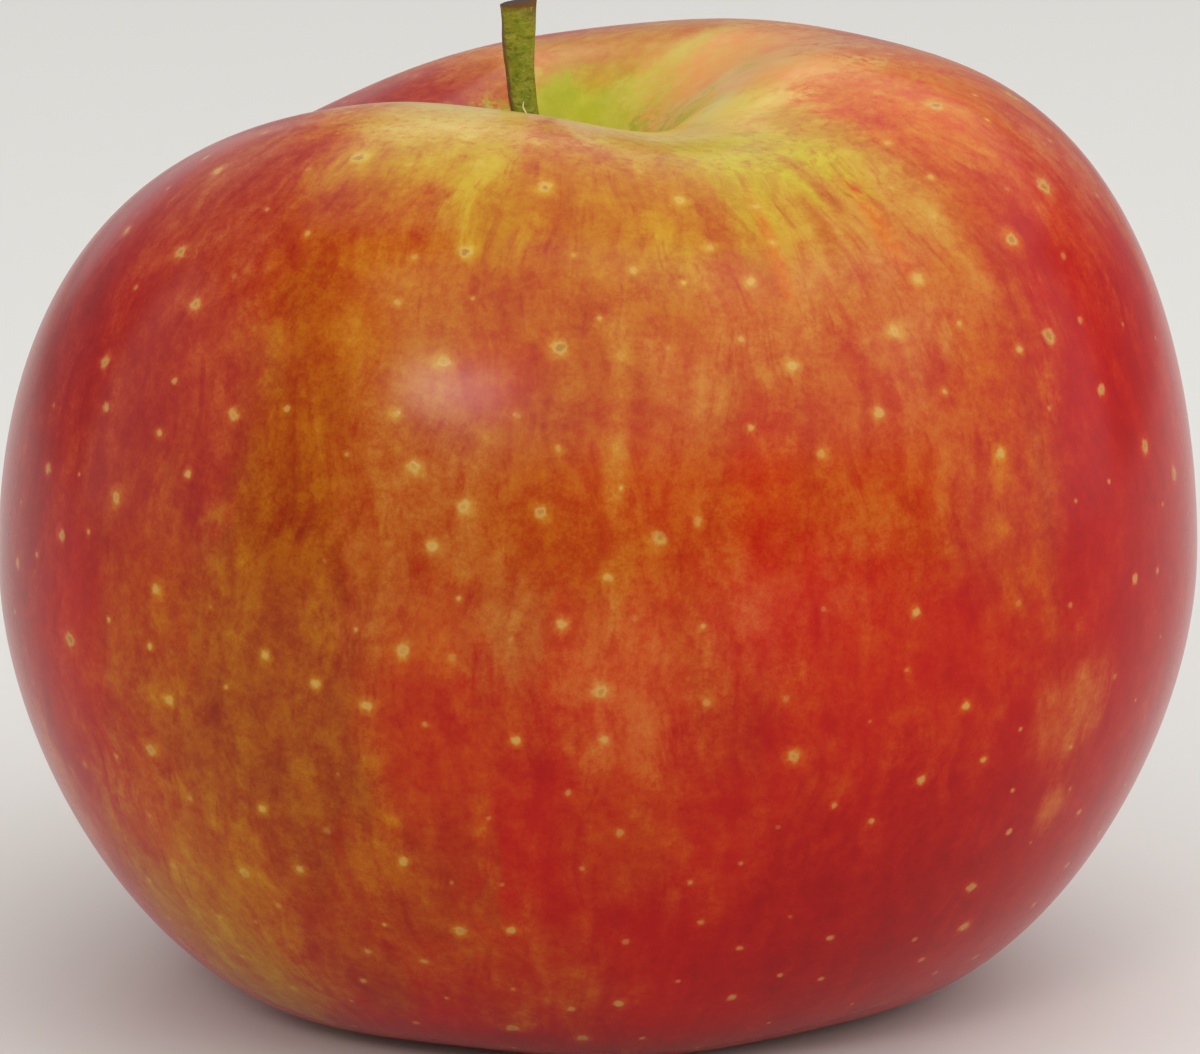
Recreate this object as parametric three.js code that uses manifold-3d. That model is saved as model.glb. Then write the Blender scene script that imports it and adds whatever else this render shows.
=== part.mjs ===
// A ripe dessert apple as picked: the fruit, its woody stem and the dried flower parts in its eye.
// Millimetres, +Z up. The apple stands on the lobes round its eye. The origin lies on that plane,
// under the middle of the fruit's width and depth.
import * as THREE from 'three';
import { mergeVertices } from 'three/addons/utils/BufferGeometryUtils.js';
import Module from 'manifold-3d';

// Fruit: the half profile, turned round the axis
const widestRadius = 40;
const widestHeight = 31.5;
const rimRadius = 15.7;          // the rim round the stem cavity
const rimHeight = 63.9;
const baseRadius = 18;           // the ring of lobes that the fruit stands on
const cavityHeight = 51;         // floor of the stem cavity
const eyeHeight = 8;             // roof of the eye basin
const footDepth = 0.25;          // how much of each lobe is pressed flat where it stands

// Fruit: how far the profile runs on along its own direction at each of those places
const eyeReach = 5;
const baseInnerReach = 7;
const baseOuterReach = 11.6;
const sideLowerReach = 13.5;
const sideUpperReach = 11.9;
const rimOuterReach = 20.3;
const rimInnerReach = 8.8;
const cavityWallReach = 6;
const cavityFloorReach = 3.5;

// Fruit: what makes it grown and not turned. Angles in degrees, counter-clockwise from +X
const rimWaves = [
  { count: 1, size: 1.78, crest: 6.5 },
  { count: 2, size: 1.3, crest: 49 },
  { count: 3, size: 0.83, crest: -13 },
  { count: 5, size: 0.24, crest: -18 },
];
const girthWaves = [
  { count: 2, size: 0.033, crest: 11 },
  { count: 3, size: 0.028, crest: -25 },
];
const lobeCount = 5;
const lobeCrest = -10;
const lobeHeight = 0.55;         // the hollows between the lobes, on the standing ring
const furrowDepth = 1.8;         // the same hollows halfway up the eye basin
const lobeTop = 12.2;            // height at which the lobes have faded into the side
const cavityShift = { x: -1.6, y: -1.4 };
const cavityShiftRadius = 28;    // the shift fades out towards this radius

// Stem: the centreline, the radius along it, and the slant of the cut end
const stemRoute = [
  [-2.2, -1.4, 47.4],
  [-2.3, -1.4, 50.5],
  [-3.4, -1.35, 55.5],
  [-4.6, -1.25, 60.5],
  [-5.15, -1.1, 65],
  [-5.3, -0.9, 69.6],
];
const stemRadii = [1.15, 1.2, 1.05, 0.97, 0.92, 0.9, 1.08, 1.28];
const stemEndRound = 0.18;
const stemEndSlope = 0.12;
const stemEndReach = 0.2;        // share of the stem's length that follows the slant

// Eye: a ring of five dried sepals, and a disc of stamens inside it
const eyeSocketRadius = 3.4;
const eyeSocketTop = 10.2;
const eyeSocketMouth = 4;
const fitGap = 0.3;              // between pieces that touch
const sepalRing = { inner: 2.1, outer: eyeSocketRadius - fitGap, low: 7.6 };
const sepalRoute = [[2.6, 8.8], [2.75, 7.2], [3.2, 5.6], [4.2, 4.2], [5.6, 3.4]];
const sepalWidths = [3.2, 3.5, 2.9, 1.9, 0.7];
const sepalThickness = 0.7;
const sepalCup = 0.5;            // how much its edges lift out of its middle
const stamenDisc = { radius: sepalRing.inner - fitGap, low: 8.3 };
const stamenCount = 14;
const stamenProfile = [[0, 0], [0.32, 0], [0.3, 2.1], [0.44, 2.6], [0.4, 3.2], [0, 3.4]];
const stamenSpread = 0.26;       // outward lean at the disc's edge, as a slope
const stamenJitter = 0.12;

// Fineness of the facets
const fruitSides = 80;
const fruitStepsPerCurve = 11;
const stemSides = 16;
const stemSteps = 22;
const eyeSides = 30;

const wasm = await Module();
wasm.setup();

function toSolid(geometry) {
  geometry.deleteAttribute('normal');
  geometry.deleteAttribute('uv');
  const merged = mergeVertices(geometry);
  const corners = merged.index.array;
  const triVerts = [];
  for (let i = 0; i < corners.length; i += 3) {
    const [a, b, c] = corners.slice(i, i + 3);
    if (a !== b && b !== c && c !== a) triVerts.push(a, b, c);
  }
  return new wasm.Manifold(new wasm.Mesh({
    numProp: 3,
    vertProperties: new Float32Array(merged.attributes.position.array),
    triVerts: new Uint32Array(triVerts),
  }));
}

function toGeometry(solid) {
  const { vertProperties, triVerts } = solid.getMesh();
  const geometry = new THREE.BufferGeometry();
  geometry.setAttribute('position', new THREE.BufferAttribute(vertProperties, 3));
  geometry.setIndex(new THREE.BufferAttribute(triVerts, 1));
  geometry.computeVertexNormals();
  return geometry;
}

function piece(name, geometry, color, roughness) {
  const material = new THREE.MeshStandardMaterial({ color, roughness, metalness: 0 });
  const mesh = new THREE.Mesh(geometry, material);
  mesh.name = name;
  return mesh;
}

function turned(points, sides) {
  const geometry = new THREE.LatheGeometry(points.map(([r, z]) => new THREE.Vector2(r, z)), sides);
  return geometry.rotateX(Math.PI / 2);
}

function moveVertices(geometry, move) {
  const position = geometry.attributes.position;
  const point = new THREE.Vector3();
  for (let i = 0; i < position.count; i++) {
    move(point.fromBufferAttribute(position, i));
    position.setXYZ(i, point.x, point.y, point.z);
  }
  return geometry;
}

const fade = (x) => THREE.MathUtils.smoothstep(x, 0, 1);
const wave = (count, crest, turn) => Math.cos(count * (turn - THREE.MathUtils.degToRad(crest)));
const sumOf = (waves, turn) => waves.reduce((sum, w) => sum + w.size * wave(w.count, w.crest, turn), 0);

// Fruit

function fruitProfile() {
  const low = -footDepth;
  const path = new THREE.Path();
  path.moveTo(0, eyeHeight);
  path.bezierCurveTo(eyeReach, eyeHeight, baseRadius - baseInnerReach, low, baseRadius, low);
  path.bezierCurveTo(baseRadius + baseOuterReach, low,
    widestRadius, widestHeight - sideLowerReach, widestRadius, widestHeight);
  path.bezierCurveTo(widestRadius, widestHeight + sideUpperReach,
    rimRadius + rimOuterReach, rimHeight, rimRadius, rimHeight);
  path.bezierCurveTo(rimRadius - rimInnerReach, rimHeight,
    cavityFloorReach, cavityHeight + cavityWallReach, 0, cavityHeight);
  return path.getPoints(fruitStepsPerCurve).map((point) => [point.x, point.y]);
}

function growFruit(point) {
  const radius = Math.hypot(point.x, point.y);
  const turn = Math.atan2(point.y, point.x);
  const height = point.z;
  const hollow = (1 - wave(lobeCount, lobeCrest, turn)) / 2;
  const upper = height > widestHeight;

  const nearRim = fade((height - widestHeight) / (rimHeight - widestHeight)) * fade(radius / rimRadius);
  const nearBase = fade(1 - height / lobeTop) * fade(radius / baseRadius);
  const across = Math.min(radius / baseRadius, 1);
  const inBasin = upper ? 0 : 4 * across * (1 - across);
  const lobed = (nearBase * lobeHeight + inBasin * furrowDepth) * hollow;

  const girth = radius * (1 + sumOf(girthWaves, turn));
  const shift = upper ? fade(1 - radius / cavityShiftRadius) : 0;
  point.set(
    girth * Math.cos(turn) + shift * cavityShift.x,
    girth * Math.sin(turn) + shift * cavityShift.y,
    height + nearRim * sumOf(rimWaves, turn) + lobed,
  );
}

function eyeSocket() {
  const height = eyeSocketTop - eyeSocketMouth;
  const bore = new THREE.CylinderGeometry(eyeSocketRadius, eyeSocketRadius, height, eyeSides);
  return toSolid(bore.rotateX(Math.PI / 2).translate(0, 0, eyeSocketMouth + height / 2));
}

function makeFruit() {
  const body = toSolid(moveVertices(turned(fruitProfile(), fruitSides), growFruit));
  const slab = new THREE.BoxGeometry(4 * widestRadius, 4 * widestRadius, widestRadius);
  const ground = toSolid(slab.translate(0, 0, -widestRadius / 2));
  return toGeometry(body.subtract(ground).subtract(stemSolid(fitGap)).subtract(eyeSocket()));
}

// Stem

function stemRadiusAt(along) {
  const place = Math.min(along, 1) * (stemRadii.length - 1);
  const index = Math.min(Math.floor(place), stemRadii.length - 2);
  return THREE.MathUtils.lerp(stemRadii[index], stemRadii[index + 1], place - index);
}

// The stem itself, or with a swell the hollow that it sits in
function stemSolid(swell) {
  const route = new THREE.CatmullRomCurve3(stemRoute.map((p) => new THREE.Vector3(...p)));
  route.points[0].z -= swell;
  const profile = [[0, 0]];
  for (let step = 0; step < stemSteps; step++) {
    profile.push([stemRadiusAt(step / stemSteps) + swell, step / stemSteps]);
  }
  const endRadius = stemRadiusAt(1) + swell;
  profile.push([endRadius, 1 - stemEndRound / route.getLength()]);
  profile.push([endRadius - stemEndRound, 1]);
  profile.push([0, 1]);
  const bend = (point) => {
    const along = THREE.MathUtils.clamp(point.z, 0, 1);
    const centre = route.getPointAt(along);
    const ahead = route.getTangentAt(along);
    const back = new THREE.Vector3(0, 1, 0);
    const right = new THREE.Vector3().crossVectors(back, ahead).normalize();
    const slant = stemEndSlope * point.x * fade((along - 1 + stemEndReach) / stemEndReach);
    back.crossVectors(ahead, right);
    point.copy(centre.addScaledVector(right, point.x).addScaledVector(back, point.y));
    point.addScaledVector(ahead, slant);
  };
  return toSolid(moveVertices(turned(profile, stemSides), bend));
}

// Eye

function seededRandom(seed) {
  let state = seed;
  return () => {
    state = (state * 16807) % 2147483647;
    return state / 2147483647;
  };
}

function sepalBlade(turn, twist) {
  const route = new THREE.CatmullRomCurve3(sepalRoute.map(([r, z]) => new THREE.Vector3(r, 0, z)));
  const widths = new THREE.SplineCurve(sepalWidths.map((w, i) => new THREE.Vector2(i, w)));
  const blade = new THREE.BoxGeometry(1, 1, 1, 4, 1, 9);
  moveVertices(blade, (point) => {
    const along = THREE.MathUtils.clamp(point.z + 0.5, 0, 1);
    const centre = route.getPoint(along);
    const ahead = route.getTangent(along);
    const out = new THREE.Vector3(-ahead.z, 0, ahead.x);
    const side = point.x * widths.getPoint(along).y;
    const lift = point.y * sepalThickness - sepalCup * (2 * point.x) ** 2 * along * (1 - along) * 2;
    point.copy(centre.addScaledVector(out, lift));
    point.y += side + twist * along * along;
  });
  return toSolid(blade.rotateZ(turn));
}

function makeSepals() {
  const { inner, outer, low } = sepalRing;
  const top = eyeSocketTop - fitGap;
  const section = [[inner, low], [outer, low], [outer, top], [inner, top], [inner, low]];
  let solid = toSolid(turned(section, eyeSides));
  const random = seededRandom(11);
  for (let i = 0; i < lobeCount; i++) {
    const turn = 2 * Math.PI * (i + 0.5) / lobeCount + THREE.MathUtils.degToRad(lobeCrest);
    solid = solid.add(sepalBlade(turn, 1.6 * (random() - 0.5)));
  }
  return toGeometry(solid);
}

function makeStamens() {
  const { radius, low } = stamenDisc;
  const top = eyeSocketTop - fitGap;
  let solid = toSolid(turned([[0, low], [radius, low], [radius, top], [0, top]], eyeSides));
  const random = seededRandom(23);
  const goldenTurn = Math.PI * (3 - Math.sqrt(5));
  for (let i = 0; i < stamenCount; i++) {
    const reach = 0.78 * radius * Math.sqrt((i + 0.5) / stamenCount);
    const lean = stamenSpread * reach / radius + stamenJitter * (random() - 0.5);
    const stamen = turned(stamenProfile, 5);
    stamen.rotateX(Math.PI).rotateY(-lean).translate(reach, 0, low + fitGap);
    solid = solid.add(toSolid(stamen.rotateZ(i * goldenTurn)));
  }
  return toGeometry(solid);
}

// The apple

const fruit = piece('fruit', makeFruit(), 0xb5402b, 0.35);
const apple = new THREE.Group();
apple.add(fruit);
apple.add(piece('stem', toGeometry(stemSolid(0)), 0x77702a, 0.75));
apple.add(piece('calyx_sepals', makeSepals(), 0x6a5238, 0.9));
apple.add(piece('calyx_stamens', makeStamens(), 0x4a3726, 0.9));

const middle = new THREE.Box3().setFromObject(fruit).getCenter(new THREE.Vector3());
apple.position.set(-middle.x, -middle.y, 0);

export default apple;
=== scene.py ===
# A ripe dessert apple on a pale studio floor: blushed waxy skin, a woody stem and a dried flower.
# Sizes are in millimetres until they reach Blender. Angles are degrees, counter-clockwise from +X.
import math
import random

import bpy
import numpy as np
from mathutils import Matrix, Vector, noise
from mathutils.kdtree import KDTree


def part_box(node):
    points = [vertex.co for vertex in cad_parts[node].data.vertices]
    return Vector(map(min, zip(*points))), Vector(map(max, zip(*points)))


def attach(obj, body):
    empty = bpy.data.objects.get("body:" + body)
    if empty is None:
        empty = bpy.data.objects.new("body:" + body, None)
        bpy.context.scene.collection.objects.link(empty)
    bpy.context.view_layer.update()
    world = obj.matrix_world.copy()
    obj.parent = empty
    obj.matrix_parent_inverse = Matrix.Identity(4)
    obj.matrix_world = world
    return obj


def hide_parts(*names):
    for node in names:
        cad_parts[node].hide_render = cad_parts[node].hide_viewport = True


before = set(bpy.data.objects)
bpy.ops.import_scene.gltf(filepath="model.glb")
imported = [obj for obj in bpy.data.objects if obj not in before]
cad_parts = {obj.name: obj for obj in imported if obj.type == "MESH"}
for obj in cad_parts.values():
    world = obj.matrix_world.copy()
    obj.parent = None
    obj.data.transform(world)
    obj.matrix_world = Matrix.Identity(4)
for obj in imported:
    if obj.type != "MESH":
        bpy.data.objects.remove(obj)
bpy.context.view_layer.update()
noise.seed_set(1795486465)      # vector noise would otherwise start from the clock
mm = 0.001
creaseAngle = 50        # faces that meet at a sharper angle keep their edge


def selectOnly(piece):
    bpy.ops.object.select_all(action="DESELECT")
    piece.select_set(True)
    bpy.context.view_layer.objects.active = piece


def startEdit(piece, action="SELECT"):
    selectOnly(piece)
    bpy.ops.object.mode_set(mode="EDIT")
    bpy.ops.mesh.select_mode(type="VERT")
    bpy.ops.mesh.select_all(action=action)


def endEdit():
    bpy.ops.object.mode_set(mode="OBJECT")


def meshPoints(piece):
    places = np.empty(len(piece.data.vertices) * 3)
    piece.data.vertices.foreach_get("co", places)
    return places.reshape(-1, 3) / mm


def setMeshPoints(piece, places):
    piece.data.vertices.foreach_set("co", (places * mm).ravel())
    piece.data.update()


def storeOnPoints(piece, name, kind, values):
    slot = {"FLOAT": "value", "FLOAT_VECTOR": "vector", "FLOAT_COLOR": "color"}[kind]
    attribute = piece.data.attributes.new(name, kind, "POINT")
    attribute.data.foreach_set(slot, np.ravel(values))


def fade(x):        # from nothing at 0 to full at 1
    x = np.clip(x, 0, 1)
    return x * x * (3 - 2 * x)


# Fruit
fruit = {
    "widestRadius": 40.0,
    "widestHeight": 31.5,
    "rimRadius": 15.7,          # rim round the stem cavity
    "rimHeight": 63.9,
    "baseRadius": 18.0,         # ring of lobes that it stands on
    "cavityHeight": 51.0,
    "eyeHeight": 8.0,
    "footDepth": 0.25,          # pressed flat where each lobe stands
    "eyeReach": 5.0,            # how far the profile runs straight on at each place
    "baseInnerReach": 7.0,
    "baseOuterReach": 11.6,
    "sideLowerReach": 13.5,
    "sideUpperReach": 11.9,
    "rimOuterReach": 20.3,
    "rimInnerReach": 8.8,
    "cavityWallReach": 6.0,
    "cavityFloorReach": 3.5,
    "rimWaves": [(1, 1.78, 6.5), (2, 1.3, 49), (3, 0.83, -13), (5, 0.24, -18)],     # count, size, crest
    "girthWaves": [(2, 0.033, 11), (3, 0.028, -25)],
    "lobeCount": 5,
    "lobeCrest": -10,
    "lobeHeight": 0.55,
    "furrowDepth": 1.8,
    "lobeTop": 12.2,
    "cavityShift": (-1.6, -1.4),
    "cavityShiftRadius": 28.0,
    "eyeSocketRadius": 3.4,
    "eyeSocketDepth": 2.4,
    "sides": 380,
    "stepsPerCurve": 56,
    "mergeReach": 0.002,
}


def fruitProfile():
    f = fruit
    low = -f["footDepth"]
    knots = [   # place, handle before it, handle after it
        ((0, f["eyeHeight"]),
         (0, f["eyeHeight"]),
         (f["eyeReach"], f["eyeHeight"])),
        ((f["baseRadius"], low),
         (f["baseRadius"] - f["baseInnerReach"], low),
         (f["baseRadius"] + f["baseOuterReach"], low)),
        ((f["widestRadius"], f["widestHeight"]),
         (f["widestRadius"], f["widestHeight"] - f["sideLowerReach"]),
         (f["widestRadius"], f["widestHeight"] + f["sideUpperReach"])),
        ((f["rimRadius"], f["rimHeight"]),
         (f["rimRadius"] + f["rimOuterReach"], f["rimHeight"]),
         (f["rimRadius"] - f["rimInnerReach"], f["rimHeight"])),
        ((0, f["cavityHeight"]),
         (f["cavityFloorReach"], f["cavityHeight"] + f["cavityWallReach"]),
         (0, f["cavityHeight"])),
    ]
    bpy.ops.curve.primitive_bezier_curve_add(location=(0, 0, 0))
    curve = bpy.context.object
    spline = curve.data.splines[0]
    spline.bezier_points.add(len(knots) - 2)
    spline.resolution_u = f["stepsPerCurve"]
    for point, knot in zip(spline.bezier_points, knots):
        point.handle_left_type = point.handle_right_type = "FREE"
        point.co, point.handle_left, point.handle_right = [(r * mm, 0, z * mm) for r, z in knot]
    bpy.ops.object.convert(target="MESH")
    return bpy.context.object


def sumOfWaves(waves, turn):
    return sum(size * np.cos(count * (turn - math.radians(crest))) for count, size, crest in waves)


def growFruit(places):      # the turned shape becomes a grown one
    f = fruit
    radius = np.hypot(places[:, 0], places[:, 1])
    turn = np.arctan2(places[:, 1], places[:, 0])
    height = places[:, 2]
    hollow = (1 - np.cos(f["lobeCount"] * (turn - math.radians(f["lobeCrest"])))) / 2
    upper = height > f["widestHeight"]
    nearRim = fade((height - f["widestHeight"]) / (f["rimHeight"] - f["widestHeight"]))
    nearRim *= fade(radius / f["rimRadius"])
    nearBase = fade(1 - height / f["lobeTop"]) * fade(radius / f["baseRadius"])
    across = np.minimum(radius / f["baseRadius"], 1)
    inBasin = np.where(upper, 0, 4 * across * (1 - across))
    girth = radius * (1 + sumOfWaves(f["girthWaves"], turn))
    shift = np.where(upper, fade(1 - radius / f["cavityShiftRadius"]), 0)
    x = girth * np.cos(turn) + shift * f["cavityShift"][0]
    y = girth * np.sin(turn) + shift * f["cavityShift"][1]
    z = height + nearRim * sumOfWaves(f["rimWaves"], turn)
    z += (nearBase * f["lobeHeight"] + inBasin * f["furrowDepth"]) * hollow
    return np.stack([x, y, np.maximum(z, 0)], axis=1)


def makeFruit():
    piece = fruitProfile()
    piece.name = "appleFruit"
    profile = meshPoints(piece)
    steps = np.hypot(*np.diff(profile[:, [0, 2]], axis=0).T)
    along = np.concatenate([[0], np.cumsum(steps)])     # from the eye over the side to the cavity floor
    storeOnPoints(piece, "along", "FLOAT", along)

    startEdit(piece)
    bpy.ops.mesh.spin(steps=fruit["sides"], angle=2 * math.pi, center=(0, 0, 0), axis=(0, 0, 1))
    bpy.ops.mesh.select_all(action="SELECT")
    bpy.ops.mesh.remove_doubles(threshold=fruit["mergeReach"] * mm)
    bpy.ops.mesh.normals_make_consistent(inside=False)
    endEdit()

    places = meshPoints(piece)      # the dried flower sits in a socket pushed up into the eye
    inSocket = np.hypot(places[:, 0], places[:, 1]) < fruit["eyeSocketRadius"]
    inSocket &= places[:, 2] < fruit["lobeTop"]
    startEdit(piece, "DESELECT")
    endEdit()
    piece.data.vertices.foreach_set("select", inSocket)
    bpy.ops.object.mode_set(mode="EDIT")
    upward = (0, 0, fruit["eyeSocketDepth"] * mm)
    bpy.ops.mesh.extrude_region_move(TRANSFORM_OT_translate={"value": upward})
    endEdit()

    places = meshPoints(piece)
    turn = np.arctan2(places[:, 1], places[:, 0])
    places = growFruit(places)
    lowest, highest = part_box("fruit")
    middle = (places.min(axis=0) + places.max(axis=0)) / 2
    shift = (np.array((lowest + highest) / 2) / mm - middle)[:2]
    places[:, :2] += shift
    setMeshPoints(piece, places)
    selectOnly(piece)
    bpy.ops.object.shade_smooth()
    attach(piece, "root")
    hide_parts("fruit")
    return piece, turn, shift, along, profile


apple, turn, boxShift, profileAlong, profilePlaces = makeFruit()
print("apple: fruit grown,", len(apple.data.polygons), "faces")


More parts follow.
